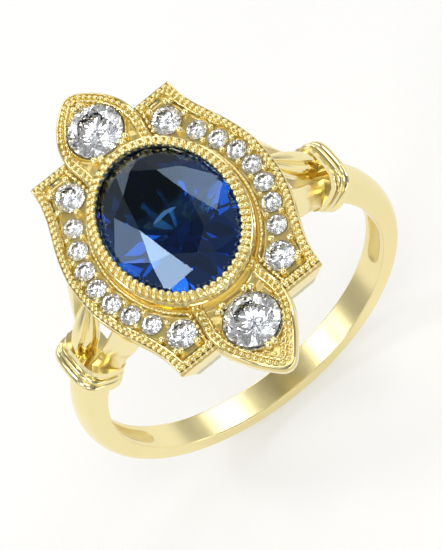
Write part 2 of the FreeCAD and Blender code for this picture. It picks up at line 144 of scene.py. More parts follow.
def spline(points, steps):
    """Catmull-Rom curve through points of any dimension, steps samples to each span."""
    p = np.array(points, float)
    p = np.vstack([2 * p[0] - p[1], p, 2 * p[-1] - p[-2]])
    out = []
    for i in range(1, len(p) - 2):
        for u in np.linspace(0, 1, steps, endpoint=False):
            out.append(0.5 * (2 * p[i] + (p[i + 1] - p[i - 1]) * u
                              + (2 * p[i - 1] - 5 * p[i] + 4 * p[i + 1] - p[i + 2]) * u ** 2
                              + (3 * p[i] - p[i - 1] - 3 * p[i + 1] + p[i + 2]) * u ** 3))
    out.append(p[-2])
    return np.array(out)


def distance_to(path, points):
    """Distance in plan of each point from a polyline."""
    a, b = path[:-1], path[1:]
    ab = b - a
    length2 = np.maximum((ab ** 2).sum(1), 1e-12)
    best = np.full(len(points), 1e9)
    for k in range(len(a)):
        ap = points - a[k]
        u = np.clip((ap @ ab[k]) / length2[k], 0, 1)
        best = np.minimum(best, ((ap - u[:, None] * ab[k]) ** 2).sum(1))
    return np.sqrt(best)


def evenly(path, count, start=0.0):
    """Points and directions at equal steps along a polyline, start being a part of a step."""
    seg = np.linalg.norm(np.diff(path, axis=0), axis=1)
    s = np.concatenate([[0], np.cumsum(seg)])
    at = (np.arange(count) + start) * s[-1] / count
    eps = s[-1] * 1e-3

    def points(t):
        return np.stack([np.interp(t, s, column) for column in path.T], 1)

    ahead = points(np.minimum(at + eps, s[-1])) - points(np.maximum(at - eps, 0))
    return points(at), ahead / np.linalg.norm(ahead, axis=1)[:, None]


def clear_of_bore(p, gap=0.0):
    """Move a point outwards if it lies inside the bore or its gap."""
    reach = math.hypot(p[0], p[2])
    if reach < BORE_R + gap:
        p[[0, 2]] *= (BORE_R + gap) / reach


def path_length(path):
    return float(np.linalg.norm(np.diff(path, axis=0), axis=1).sum())


def points_at(x, y, z):
    """Points in rows; z is one height or a height for each."""
    return np.stack([x, y, np.broadcast_to(z, np.shape(x))], 1)


def grid_faces(rows, cols):
    """Quads of a grid whose points are numbered row by row."""
    return [(r * cols + c, r * cols + c + 1, (r + 1) * cols + c + 1, (r + 1) * cols + c)
            for r in range(rows - 1) for c in range(cols - 1)]


class Shape:
    """Vertices and faces in millimetres, gathered from several parts."""

    def __init__(self):
        self.verts, self.faces = [], []

    def add(self, verts, faces):
        base = len(self.verts)
        self.verts += [tuple(v) for v in verts]
        self.faces += [tuple(base + i for i in f) for f in faces]
        return self

    def loft(self, rings, caps=(True, True)):
        """Skin closed rings of equal point counts, with flat fans over the ends."""
        n, m = len(rings), len(rings[0])
        verts = [p for ring in rings for p in ring]
        faces = [(i * m + j, i * m + (j + 1) % m, (i + 1) * m + (j + 1) % m, (i + 1) * m + j)
                 for i in range(n - 1) for j in range(m)]
        for cap, i in zip(caps, (0, n - 1)):
            if cap:
                centre = len(verts)
                verts.append(np.mean(rings[i], axis=0))
                faces += [(i * m + j, i * m + (j + 1) % m, centre) for j in range(m)]
        return self.add(verts, faces)

    def mirrored(self, x, y):
        out = Shape()
        out.verts = [(v[0] * x, v[1] * y, v[2]) for v in self.verts]
        out.faces = list(self.faces)
        return out


def ball_template(divisions):
    bm = bmesh.new()
    bmesh.ops.create_icosphere(bm, subdivisions=divisions, radius=1.0)
    verts = np.array([v.co for v in bm.verts])
    faces = [tuple(v.index for v in f.verts) for f in bm.faces]
    bm.free()
    return verts, faces


BALL = {n: ball_template(n) for n in (2, 3)}


def grain(shape, centre, radii, along=(1.0, 0.0), fine=2):
    """Rounded grain of metal; radii run along the row, across it and up."""
    verts, faces = BALL[fine]
    dx = np.array([along[0], along[1], 0.0])
    dy = np.array([-along[1], along[0], 0.0])
    dz = np.array([0.0, 0.0, 1.0])
    v = (verts[:, :1] * radii[0] * dx + verts[:, 1:2] * radii[1] * dy
         + verts[:, 2:] * radii[2] * dz)
    shape.add(v + np.array(centre), faces)


def new_object(name, data):
    obj = bpy.data.objects.new(name, data)
    bpy.context.scene.collection.objects.link(obj)
    return obj


def add_mesh(name, shape, material, nodes=(), smooth=True, zones=()):
    """Make a visible piece of the ring that rides on its one body.

    zones holds (material, test) pairs: faces whose centre in mm passes get that material.
    """
    mesh = bpy.data.meshes.new(name)
    mesh.from_pydata([(v[0] * MM, v[1] * MM, v[2] * MM) for v in shape.verts], [], shape.faces)
    bm = bmesh.new()
    bm.from_mesh(mesh)
    bmesh.ops.remove_doubles(bm, verts=bm.verts, dist=2e-8)
    bmesh.ops.recalc_face_normals(bm, faces=bm.faces)
    bm.to_mesh(mesh)
    bm.free()
    mesh.polygons.foreach_set("use_smooth", [smooth] * len(mesh.polygons))
    if smooth:
        mesh.set_sharp_from_angle(angle=math.radians(SHARP_DEG))
    mesh.materials.append(material)
    if zones:
        flat = np.zeros(len(mesh.polygons) * 3)
        mesh.polygons.foreach_get("center", flat)
        centres = flat.reshape(-1, 3) / MM
        index = np.zeros(len(centres), np.int32)
        for i, (other, test) in enumerate(zones, 1):
            mesh.materials.append(other)
            index[test(centres)] = i
        mesh.polygons.foreach_set("material_index", index)
    obj = new_object(name, mesh)
    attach(obj, "root")
    if nodes:
        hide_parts(*nodes)


# signs of x and y for the mirror images of a shape
SIDES = {"right": (1, 1), "left": (-1, 1)}
ENDS = {"rear": (1, 1), "front": (1, -1)}
ONCE = {"": (1, 1)}
QUARTERS = {"right_front": (1, 1), "right_rear": (1, -1),
            "left_front": (-1, 1), "left_rear": (-1, -1)}


def add_gold(places, name, shape, material, node=None, zones=()):
    """A gold piece at each place, as mirror images; {} in the names stands for the place."""
    for place, signs in places.items():
        add_mesh(name.format(place), shape.mirrored(*signs), material,
                 [node.format(place)] if node else (), zones=zones)


# ---- materials
def new_material(name):
    mat = bpy.data.materials.new(name)
    mat.use_nodes = True
    nodes = mat.node_tree.nodes
    return mat, nodes, mat.node_tree.links, nodes["Principled BSDF"]


def set_inputs(node, values):
    for key, value in values.items():
        node.inputs[key].default_value = value


def object_noise(nodes, links, scale, detail):
    coords = nodes.new("ShaderNodeTexCoord")
    noise = nodes.new("ShaderNodeTexNoise")
    set_inputs(noise, {"Scale": scale, "Detail": detail})
    links.new(coords.outputs["Object"], noise.inputs["Vector"])
    return noise.outputs["Fac"]


def tint_base(nodes, links, shader, light, deep, scale, detail):
    """Base colour that wanders between two tints."""
    tint = nodes.new("ShaderNodeMix")
    tint.data_type = "RGBA"
    set_inputs(tint, {6: (*deep, 1), 7: (*light, 1)})
    links.new(object_noise(nodes, links, scale, detail), tint.inputs[0])
    links.new(tint.outputs[2], shader.inputs["Base Color"])


def gold(name, light, deep, roughness, bump=0.03, grain_size=900.0):
    """Polished yellow gold: slow tint changes, faint wear and a little polishing texture."""
    mat, nodes, links, shader = new_material(name)
    shader.inputs["Metallic"].default_value = 1.0
    tint_base(nodes, links, shader, light, deep, 260.0, 2.0)
    wear = nodes.new("ShaderNodeMapRange")
    set_inputs(wear, {"To Min": roughness * 0.75, "To Max": roughness * 1.3})
    links.new(object_noise(nodes, links, 700.0, 4.0), wear.inputs["Value"])
    links.new(wear.outputs["Result"], shader.inputs["Roughness"])
    relief = nodes.new("ShaderNodeBump")
    set_inputs(relief, {"Strength": bump, "Distance": 0.05 * MM})
    links.new(object_noise(nodes, links, grain_size, 3.0), relief.inputs["Height"])
    links.new(relief.outputs["Normal"], shader.inputs["Normal"])
    return mat


def gem(name, ior, light, deep, absorb=None, density=0.0, shine=0.5, glint=(1, 1, 1)):
    """Clear cut stone with the faintest clouding; absorb tints the light that crosses it."""
    mat, nodes, links, shader = new_material(name)
    set_inputs(shader, {"Transmission Weight": 1.0, "IOR": ior, "Roughness": 0.0,
                        "Specular IOR Level": shine, "Specular Tint": (*glint, 1)})
    tint_base(nodes, links, shader, light, deep, 400.0, 3.0)
    if absorb:
        volume = nodes.new("ShaderNodeVolumeAbsorption")
        set_inputs(volume, {"Color": (*absorb, 1), "Density": density})
        links.new(volume.outputs[0], nodes["Material Output"].inputs["Volume"])
    return mat


POLISHED = gold("polished_gold", (0.93, 0.81, 0.45), (0.87, 0.75, 0.36), 0.10)
# darker, rougher gold for the sunk floors of the halo and tips and the pockets in the shank
RECESS = gold("recess_gold", (0.87, 0.72, 0.32), (0.70, 0.54, 0.17), 0.36, 0.30, 1800.0)
BEADED = gold("beaded_gold", (0.95, 0.84, 0.48), (0.86, 0.74, 0.34), 0.22, 0.05, 1400.0)
BAND = gold("band_gold", (0.93, 0.81, 0.45), (0.88, 0.76, 0.38), 0.23)
SEAT = gold("bright_cut_seat", (0.93, 0.95, 0.98), (0.86, 0.88, 0.92), 0.12)
DIAMOND = gem("diamond_white", 2.417, (0.985, 0.992, 1.0), (0.955, 0.97, 0.99))
SAPPHIRE = gem("sapphire_blue", 1.77, (0.75, 0.82, 1.0), (0.65, 0.74, 0.98),
               (0.0, 0.43, 0.70), 700.0, 0.36, (0.50, 0.72, 1.0))


# ---- shank
def shank_section(deg):
    """Closed ring of (y, r) round the band at an angle, flat inside and domed outside."""
    edge = EDGE_R + GROWTH * (abs(deg + 90.0) / GROWTH_SPAN_DEG) ** GROWTH_POWER
    w, corner = SHANK_HALF_W, EDGE_BEVEL
    half = [(y, BORE_R) for y in np.linspace(0, w - corner, 21)]
    for a in np.linspace(0, math.pi / 2, 5)[1:]:
        half.append((w - corner + corner * math.sin(a), BORE_R + corner * (1 - math.cos(a))))
    lip = edge - CROWN_LIP
    half += [(w, r) for r in np.linspace(BORE_R + corner, lip, 5)[1:-1]]
    for a in np.linspace(math.pi / 2, 0, 17):
        half.append((w * math.sin(a), lip + (CROWN + CROWN_LIP) * math.cos(a) ** CROWN_POWER))
    return np.array(half + [(-y, r) for y, r in reversed(half[1:-1])])


def in_pocket(c):
    """Faces sunk below the bore's surface near the middle of the band."""
    depth = np.hypot(c[:, 0], c[:, 2]) - BORE_R
    return (depth > 0.02) & (depth < 0.35) & (np.abs(c[:, 1]) < POCKET_HALF_W)


def build_shank():
    """Band from shoulder to shoulder, with a pocket scooped inside each shoulder."""
    rings = []
    low, high = POCKET_DEG
    for deg in np.linspace(-180.0 - SHOULDER_DEG, SHOULDER_DEG, 513):
        section = shank_section(deg)
        mirrored = deg if deg > -90 else -180 - deg
        beyond = max(low - mirrored, mirrored - high, 0.0) * math.radians(1) * BORE_R
        inside = section[:, 1] < BORE_R + 0.001
        away = np.hypot(beyond, section[:, 0])
        scoop = np.clip(1 - (away / POCKET_HALF_W) ** 2, 0, 1) * POCKET_DEPTH
        scoop *= 0.5 + 0.5 * smoothstep((mirrored - low) / (high - low))
        section[:, 1] += np.where(inside, scoop, 0.0)
        rings.append([polar(deg, r, y) for y, r in section])
    add_gold(ONCE, "shank_body", Shape().loft(rings), BAND, "shank", [(RECESS, in_pocket)])


# ---- shoulders
E_R, E_T = polar(SHOULDER_DEG, 1.0), polar(SHOULDER_DEG + 90.0, 1.0)
RIDGE_HALF_W, RIDGE_R = 1.85, 11.15
COLLAR_START, COLLAR_END = -0.35, 1.00
# rounded rims along the band: middle, half width, how far its top lies below the ridge, depth
COLLAR_RIMS = [(-0.05, 0.31, 0.0, 0.26), (0.42, 0.17, 0.08, 0.20)]
RIM_FOOT = 0.28  # surface beside the rims, below the ridge
# the hollow behind the rims: place along the band, depth below the ridge
VALLEY = [(0.56, 0.24), (0.64, 0.62), (0.74, 1.00), (0.88, 1.30), (1.00, 1.45)]
COLLAR_FOOT = 0.35  # the section is drawn from this far inside the bore, then trimmed
NARROWING = 0.75  # how much narrower the collar gets for each step down
SQUARENESS = 2 / 3.0  # exponent of the section: 1 is an oval, 0 a rectangle
RIB_COUNT, RIB_DEPTH = 20, 0.018  # faint hammered ribs in the hollow


def collar_drop(t):
    """How far the collar's surface lies below its main ridge, at a place along the band."""
    low = float(interpolate(VALLEY, t)) if t > VALLEY[0][0] else RIM_FOOT
    for middle, half, top, depth in COLLAR_RIMS:
        x = min(1.0, abs(t - middle) / half)
        low = min(low, top + depth * (1 - math.sqrt(1 - x * x)))
    return low


def at_collar(t, r, y=0.0):
    """Point t along the band from the collar's ridge, r from the bore's axis."""
    return E_R * r + E_T * t + np.array([0.0, y, 0.0])


def collar_ring(t, count=112):
    """Closed section of the right collar at a place along the band."""
    drop = collar_drop(t)
    half_w, outer_r = RIDGE_HALF_W - NARROWING * drop, RIDGE_R - drop
    low = BORE_R - COLLAR_FOOT
    mid, half_h = (outer_r + low) / 2, (outer_r - low) / 2
    valley = smoothstep((t - VALLEY[1][0]) / 0.10)
    ring = []
    for k in range(count):
        a = 2 * math.pi * (k + 0.5) / count
        c, s = math.cos(a), math.sin(a)
        ribs = valley * RIB_DEPTH * (0.5 + 0.5 * math.cos(a * RIB_COUNT)) * (s > -0.3)
        r = mid + half_h * math.copysign(abs(s) ** SQUARENESS, s) * (1 - ribs)
        y = half_w * math.copysign(abs(c) ** SQUARENESS, c) * (1 - ribs)
        p = at_collar(t, r, y)
        clear_of_bore(p)
        ring.append(p)
    return ring


def build_collars():
    """Rounded wraps where the band meets the shoulders."""
    rings = [collar_ring(t) for t in np.linspace(COLLAR_START, COLLAR_END, 120)]
    add_gold(SIDES, "{}_collar_wrap", Shape().loft(rings), POLISHED, "{}_collar")


def rounded_section(corners, radius=0.07, steps=5):
    """Section with its corners rounded off."""
    c = [np.array(p) for p in corners]
    out = []
    for i in range(len(c)):
        p, before, after = c[i], c[i - 1], c[(i + 1) % len(c)]
        a = p + (before - p) / np.linalg.norm(before - p) * radius
        b = p + (after - p) / np.linalg.norm(after - p) * radius
        for u in np.linspace(0, 1, steps):
            out.append((1 - u) ** 2 * a + 2 * u * (1 - u) * p + u ** 2 * b)
        out += [b + (c[(i + 1) % len(c)] - b) * k / 5 for k in range(1, 4)]
    return out


# front branch on the right: upper and lower edges of the visible face, from collar to halo
BRANCH_UPPER = [at_collar(0.62, 10.45, -0.66), (7.10, -0.98, 7.75), (6.72, -1.26, 8.55),
                (6.22, -1.60, 9.45), (5.62, -1.85, 10.50)]
BRANCH_LOWER = [at_collar(0.62, 9.02, -1.50), (6.42, -1.82, 6.95), (6.02, -2.30, 8.00),
                (5.62, -2.92, 9.15), (5.02, -3.50, 10.40)]
# and the step from that face to the hidden one
BRANCH_DEPTH = [(-0.42, 0.28, -0.30), (-0.44, 0.30, -0.32), (-0.46, 0.36, -0.26),
                (-0.50, 0.42, -0.12), (-0.55, 0.40, 0.0)]
BRANCH_BULGE = 0.32  # how far the visible face is rounded, as a part of the depth
BRANCH_CLEAR = 0.02  # least height above the bore


def build_branches():
    """Four flat straps that flare from the collars up to the halo."""
    upper, lower = spline(BRANCH_UPPER, 10), spline(BRANCH_LOWER, 10)
    depth = spline(BRANCH_DEPTH, 10)
    rings = []
    for a, b, d in zip(upper, lower, depth):
        face = [a + (b - a) * u - d * (BRANCH_BULGE * math.sin(math.pi * u))
                for u in np.linspace(0, 1, 7)]
        rings.append(rounded_section(face + [b + d, a + d]))
    for ring in rings:
        for p in ring:
            clear_of_bore(p, BRANCH_CLEAR)
    add_gold(QUARTERS, "{}_branch_arm", Shape().loft(rings), BAND, "{}_branch")


LEAF_STATIONS = [  # centre x, z, half width along the finger, half thickness
    (7.36, 7.02, 0.34, 0.56), (7.20, 7.70, 0.46, 0.70), (6.90, 8.50, 0.64, 0.78),
    (6.50, 9.35, 0.68, 0.68), (6.08, 10.15, 0.50, 0.50), (5.66, 10.90, 0.26, 0.30)]
LEAF_LEAN = np.array([-0.47, 0.0, 0.88])
LEAF_GROOVES = (0.26, 0.74)  # half turns round the petal
GROOVE_WIDTH, GROOVE_DEPTH = 0.20, 0.34
LEAF_STEPS = 72


def build_leaves():
    """Bulging petals between the branches, each with two long grooves."""
    across = np.array([LEAF_LEAN[2], 0.0, -LEAF_LEAN[0]])
    rings = []
    for x, z, half_w, half_t in spline(LEAF_STATIONS, 10):
        ring = []
        for k in range(LEAF_STEPS):
            a = 2 * math.pi * k / LEAF_STEPS
            groove = sum(math.exp(-((a - g * math.pi) / GROOVE_WIDTH) ** 2)
                         for g in LEAF_GROOVES)
            size = 1.0 - GROOVE_DEPTH * groove
            ring.append(np.array([x, 0, z]) + across * (half_t * math.sin(a) * size)
                        + np.array([0, half_w * math.cos(a) * size, 0]))
        rings.append(ring)
    add_gold(SIDES, "{}_shoulder_leaf_petal", Shape().loft(rings), POLISHED,
             "{}_shoulder_leaf")


# ---- halo panels
def halo_half_width(y):
    return interpolate(HALO_SIDE, np.abs(y))


def bezel_half_width(y):
    return BEZEL_A * np.sqrt(np.maximum(0.0, 1 - (np.asarray(y) / BEZEL_B) ** 2))


def tip_half_width(y):
    y = np.abs(y)
    return np.where(y > TIP_ROOT_Y, interpolate(TIP_SHAPE, y), 0.0)


def panel_inner(y):
    """Inner edge of a halo panel: the bezel in the middle, the tip collets at the ends."""
    return np.maximum(bezel_half_width(y), tip_half_width(y))


def panel_point(u, v, inset=0.0, end_inset=0.0):
    """Plan position in the right panel: u from the bezel outwards, v along the finger."""
    y = v * (HALO_END_Y - end_inset)
    slope = (halo_half_width(y + 0.05) - halo_half_width(y - 0.05)) / 0.1
    outer = halo_half_width(y) - inset * np.sqrt(1 + slope ** 2)
    inner = np.minimum(panel_inner(y), outer - 0.05)
    return inner + u * (outer - inner), y


def stone_nodes(words):
    return sorted(n for n in frame["nodes"] if all(w in n for w in words))


def stone_of(node):
    """Middle, width and top of a stone's box."""
    low, high = box_mm(node)
    return (low + high) / 2, high[0] - low[0], high[2]


PANEL_STONES = [stone_of(n) for n in stone_nodes(["right", "diamond"])]
# height above the floor at distances from the halo's outer edge
BORDER_PROFILE = [(0.0, 0.20), (0.02, 0.24), (0.07, 0.25), (0.11, 0.14), (0.38, 0.13),
                  (0.43, 0.20), (0.48, 0.22), (0.53, 0.18), (0.60, 0.05), (0.70, 0.0),
                  (9.0, 0.0)]
# and at distances from the bezel and the tip collets
INNER_PROFILE = [(0.0, 0.05), (0.06, 0.06), (0.10, 0.18), (0.17, 0.22), (0.24, 0.18),
                 (0.29, 0.05), (0.36, 0.0), (9.0, 0.0)]
HOLLOW_TOP, HOLLOW_INSET = 10.75, 0.60  # roof of the hollow under the panel
# the outside, from the top edge down, under the rim and up into the hollow: height, inset
# of the sides, inset of the ends
HALO_WALL = [(11.64, 0.0, 0.0), (11.50, 0.0, 0.05), (11.30, 0.0, 0.06), (11.23, 0.0, 0.0),
             (HALO_BAND, 0.0, 0.0), (11.14, 0.02, 0.01), (10.6, 0.37, 0.13),
             (HALO_BOTTOM + 0.06, 0.86, 0.28), (HALO_BOTTOM, 0.92, 0.34),
             (HALO_BOTTOM, 1.26, 0.68), (HALO_BOTTOM + 0.06, 1.30, 0.74),
             (HOLLOW_TOP, HOLLOW_INSET, HOLLOW_INSET)]
# stone seats, as parts of the stone's width: its girdle below its top, and the gap under it
SEAT_TOP, SEAT_GAP = 0.175, 0.03
SEAT_SLOPE, SEAT_EDGE = 0.80, 0.005
SEAT_LIP, SEAT_LIP_HEIGHT = 0.16, 0.05  # low rim round each seat in the halo
HALO_SEAT_FLOOR, TIP_SEAT_FLOOR = 10.85, 10.35


def outer_path(inset, end_inset):
    """Outline of the right panel, down one end, along the outside and back."""
    v, u = np.linspace(-1, 1, 241), np.linspace(0, 1, 40)
    side = np.stack(panel_point(np.ones_like(v), v, inset, end_inset), 1)
    first, last = (np.stack(panel_point(u, np.full_like(u, end), inset, end_inset), 1)
                   for end in (-1.0, 1.0))
    return np.vstack([first[:-1], side, last[::-1][1:]])


def inner_path():
    v = np.linspace(-1, 1, 401)
    return np.stack(panel_point(np.zeros_like(v), v), 1)


def cut_seat(z, away, d, top, floor_z):
    """Sink a cone for a stone of width d into the heights z, away being their distances."""
    cone = top - d * SEAT_TOP - SEAT_GAP * d - (d / 2 - away) * SEAT_SLOPE
    return np.where(away < d / 2 + SEAT_EDGE, np.minimum(z, np.maximum(cone, floor_z)), z)


def panel_height(points):
    """Top surface of the right panel: borders, sunk floor and stone seats."""
    border = interpolate(BORDER_PROFILE, distance_to(outer_path(0, 0), points))
    inner = interpolate(INNER_PROFILE, distance_to(inner_path(), points))
    z = HALO_FLOOR + np.maximum(border, inner)
    for centre, d, top in PANEL_STONES:
        away = np.hypot(points[:, 0] - centre[0], points[:, 1] - centre[1])
        lip = HALO_FLOOR + SEAT_LIP_HEIGHT * smoothstep((0.5 * d + SEAT_LIP - away) / 0.10)
        z = np.where(away < d / 2 + SEAT_LIP, np.minimum(z, lip), z)
        z = cut_seat(z, away, d, top, HALO_SEAT_FLOOR)
    return z


def halo_recess(c):
    """Faces of the sunk floor."""
    return (c[:, 2] > HALO_BAND + 0.06) & (c[:, 2] < HALO_FLOOR + 0.10)


def halo_seats(c):
    """Faces of the seats under the stones."""
    found = np.zeros(len(c), bool)
    for centre, d, top in PANEL_STONES:
        found |= np.hypot(np.abs(c[:, 0]) - centre[0], c[:, 1] - centre[1]) < d / 2
    return found & (c[:, 2] < HALO_FLOOR) & (c[:, 2] > 10.8)


def build_panels():
    """Side fields of the halo, hollow underneath."""
    rows, cols = 331, 85
    v, u = np.meshgrid(np.linspace(-1, 1, rows), np.linspace(0, 1, cols), indexing="ij")
    x, y = panel_point(u.ravel(), v.ravel())
    top = points_at(x, y, panel_height(np.stack([x, y], 1)))
    shape = Shape().add(top, grid_faces(rows, cols))
    edge = ([(c, 0) for c in range(cols)] + [(cols - 1, r) for r in range(1, rows)]
            + [(c, rows - 1) for c in range(cols - 2, -1, -1)]
            + [(0, r) for r in range(rows - 2, 0, -1)])
    eu = np.array([c / (cols - 1) for c, r in edge])
    ev = np.array([2 * r / (rows - 1) - 1 for c, r in edge])
    rings = [[top[r * cols + c] for c, r in edge]]
    for level, inset, end_inset in HALO_WALL:
        rings.append(points_at(*panel_point(eu, ev, inset, end_inset), level))
    shape.loft(rings, caps=(False, False))
    roof = panel_point(u.ravel(), v.ravel(), HOLLOW_INSET, HOLLOW_INSET)
    shape.add(points_at(*roof, HOLLOW_TOP), grid_faces(rows, cols))
    add_gold(SIDES, "{}_halo_plate", shape, POLISHED, "{}_halo_panel",
             [(RECESS, halo_recess), (SEAT, halo_seats)])
    halo_milgrain()


BEAD_PITCH = 0.345  # step of the milgrain on the halo and the tips
# border rows: inset from the edge, radii (along, across, up), height, start as part of a step
HALO_BEADS = [(0.19, (0.170, 0.135, 0.15), 11.66, 0.5),
              (0.34, (0.150, 0.110, 0.14), 11.63, 0.0)]
TOOTH_DROP = 0.17  # how far the teeth on the end walls sit below the top
INNER_BEAD_Z = HALO_FLOOR + 0.19
BEZEL_SIDE, BEZEL_SIDE_PITCH, BEZEL_SIDE_RADII = 0.17, 0.26, (0.115, 0.085, 0.09)
TIP_SIDE, TIP_SIDE_PITCH, TIP_SIDE_RADII = 0.16, 0.31, (0.14, 0.11, 0.13)


def bead_row(shape, path, pitch, z, radii):
    """Equal grains along a path."""
    for p, d in zip(*evenly(path, round(path_length(path) / pitch), 0.5)):
        grain(shape, (*p, z), radii, d)


def halo_milgrain():
    """Two rows of grains on the halo's border and one row on its inner edge."""
    rng = np.random.default_rng(7)
    shape = Shape()
    count = round(path_length(outer_path(0.13, 0.13)) / BEAD_PITCH)
    for row, (inset, radii, z, start) in enumerate(HALO_BEADS):
        for p, d in zip(*evenly(outer_path(inset, inset), count, start)):
            k = 1 + 0.12 * rng.uniform(-1, 1)
            grain(shape, (*p, z + 0.02 * rng.uniform(-1, 1)), [r * k for r in radii], d)
            if row == 0 and abs(p[1]) > HALO_END_Y - 0.3:  # teeth down the end walls
                y = math.copysign(HALO_END_Y - 0.05, p[1])
                grain(shape, (p[0], y, HALO_TOP - TOOTH_DROP), (0.12 * k, 0.07, 0.20), (1, 0))
    edge = inner_path()
    line = edge[np.abs(edge[:, 1]) < 4.15]  # beside the bezel
    line = line * np.array([1.0 + BEZEL_SIDE / BEZEL_A, 1.0 + BEZEL_SIDE / BEZEL_B])
    bead_row(shape, line, BEZEL_SIDE_PITCH, INNER_BEAD_Z, BEZEL_SIDE_RADII)
    line = edge[edge[:, 1] < -4.55] + np.array([TIP_SIDE, 0.0])  # beside the tips
    for sy in (1, -1):
        bead_row(shape, line * (1, sy), TIP_SIDE_PITCH, INNER_BEAD_Z, TIP_SIDE_RADII)
    add_gold(SIDES, "{}_halo_milgrain", shape, BEADED)


# ---- tip collets
DROOP_START, DROOP_SPAN, DROOP_POWER = 7.8, 2.4, 1.7
TIP_ROOT_HALF_W = 2.09
APEX_INSET = 1.9  # the apex is drawn in by this much for each step of side inset


def tip_top(y):
    """Height of a tip's top, which bends down towards the apex."""
    past = np.maximum(0.0, (np.abs(y) - DROOP_START) / DROOP_SPAN)
    return TIP_TOP - TIP_DROOP * past ** DROOP_POWER


def tip_start(x):
    """Where a tip begins, on the bezel's outline."""
    part = np.minimum(np.abs(x), BEZEL_A) / BEZEL_A
    return BEZEL_B * np.sqrt(np.maximum(0.0, 1 - part ** 2))


def tip_point(u, s, inset=0.0, blunt=0.0):
    """Plan position in the rear tip: u across from -1 to 1, s from the bezel to the apex."""
    apex = TIP_APEX - inset * APEX_INSET - blunt
    start = tip_start(u * TIP_ROOT_HALF_W)
    y = start + s * (apex - start)
    stretch = TIP_ROOT_Y + (y - TIP_ROOT_Y) * (TIP_APEX - TIP_ROOT_Y) / (apex - TIP_ROOT_Y)
    width = np.maximum(0.0, interpolate(TIP_SHAPE, stretch) - inset * (1 - s ** 8))
    return u * width, y


def tip_edge(inset, count=200):
    """Outline of the rear tip, up one side and down the other."""
    s = np.linspace(0, 1, count)
    right = np.stack(tip_point(np.ones_like(s), s, inset), 1)
    return np.vstack([right, (right * (-1, 1))[::-1][1:]])


TIP_ROUND = 0.06  # the top edge is rounded in by this much
# height against the collet's top, at distances from the edge of its top surface
TIP_PROFILE = [(0.0, -0.03), (0.04, 0.0), (0.07, -0.01), (0.10, -0.12), (0.34, -0.13),
               (0.38, -0.06), (0.43, -0.03), (0.48, -0.06), (0.56, -0.24), (0.64, -0.28),
               (9.0, -0.28)]
# the wall below the top: level, inset of the sides, how far the apex is drawn in
TIP_WALL = [(-0.05, 0.03, 0.0), (-0.10, 0.01, 0.0), (-0.16, 0.0, 0.0), (-0.32, -0.03, 0.08),
            (-0.52, -0.05, 0.17), (-0.75, -0.06, 0.25), (-1.0, -0.04, 0.31),
            (-1.2, 0.0, 0.35), (-1.35, 0.06, 0.38)]
TIP_FOOT = [(TIP_BOTTOM + 0.06, 0.12, 0.40), (TIP_BOTTOM, 0.18, 0.42)]  # the same, in heights
TIP_FLOOR = 0.28  # depth of the sunk floor
BEZEL_BANK, BEZEL_LINE = 0.14, 0.10  # the floor rises by these beside the bezel
SEAT_RING = 0.22  # and by this round the stone


def tip_recess(c):
    """Faces of a tip's sunk floor."""
    depth = tip_top(c[:, 1]) - c[:, 2]
    return (depth > 0.10) & (depth < 0.37)


def tip_seat(c):
    """Faces of the seat under a tip's stone."""
    away = np.hypot(c[:, 0], np.abs(c[:, 1]) - TIP_STONE_Y)
    return (away < 1.5) & (c[:, 2] < TIP_TOP - TIP_FLOOR) & (c[:, 2] > 10.3)


def build_tips():
    """Leaf-shaped ends of the head, each with a sunk floor, a stone seat and a curved wall."""
    rows, cols = 220, 121
    s, u = np.meshgrid(np.linspace(0, 1, rows), np.linspace(-1, 1, cols), indexing="ij")
    x, y = tip_point(u.ravel(), s.ravel(), TIP_ROUND)
    away = np.hypot(x, y - TIP_STONE_Y)
    _, d, stone_top = stone_of("rear_tip_diamond")
    from_edge = distance_to(tip_edge(TIP_ROUND), np.stack([x, y], 1))
    z = tip_top(y) + interpolate(TIP_PROFILE, from_edge)
    bezel_side = y - tip_start(x)
    bank = (BEZEL_BANK * smoothstep((1.25 - bezel_side) / 0.5)
            + BEZEL_LINE * np.exp(-((bezel_side - 0.30) / 0.05) ** 2))
    z = np.where(bezel_side < 0.3, np.minimum(z, tip_top(y) - 0.10), z)
    z = np.maximum(z, tip_top(y) - TIP_FLOOR + bank)
    ring = np.exp(-((away - d / 2 - 0.09) / 0.07) ** 2) * SEAT_RING
    z = np.maximum(z, tip_top(y) - TIP_FLOOR + ring)
    top = points_at(x, y, cut_seat(z, away, d, stone_top, TIP_SEAT_FLOOR))
    shape = Shape().add(top, grid_faces(rows, cols))
    edge = ([(0, r) for r in range(rows - 1, 0, -1)] + [(c, 0) for c in range(cols)]
            + [(cols - 1, r) for r in range(1, rows)])
    rings = [[top[r * cols + c] for c, r in edge]]
    eu = np.array([2 * c / (cols - 1) - 1 for c, r in edge])
    es = np.array([r / (rows - 1) for c, r in edge])
    for level, inset, blunt in TIP_WALL:
        ex, ey = tip_point(eu, es, inset, blunt)
        rings.append(points_at(ex, ey, tip_top(ey) + level))
    for level, inset, blunt in TIP_FOOT:
        rings.append(points_at(*tip_point(eu, es, inset, blunt), level))
    shape.loft(rings, caps=(False, True))
    add_gold(ENDS, "{}_tip_plate", shape, POLISHED, "{}_tip_collet",
             [(RECESS, tip_recess), (SEAT, tip_seat)])
    tip_milgrain(d / 2)


# border rows: inset from the edge, radii (along, across, up), start as part of a step
TIP_BEADS = [(0.21, (0.165, 0.135, 0.17), 0.5), (0.38, (0.130, 0.105, 0.13), 0.0)]
PEBBLE_AREA = ((-0.9, 8.3), (0.9, 9.8))
PEBBLE_TRIES = 90


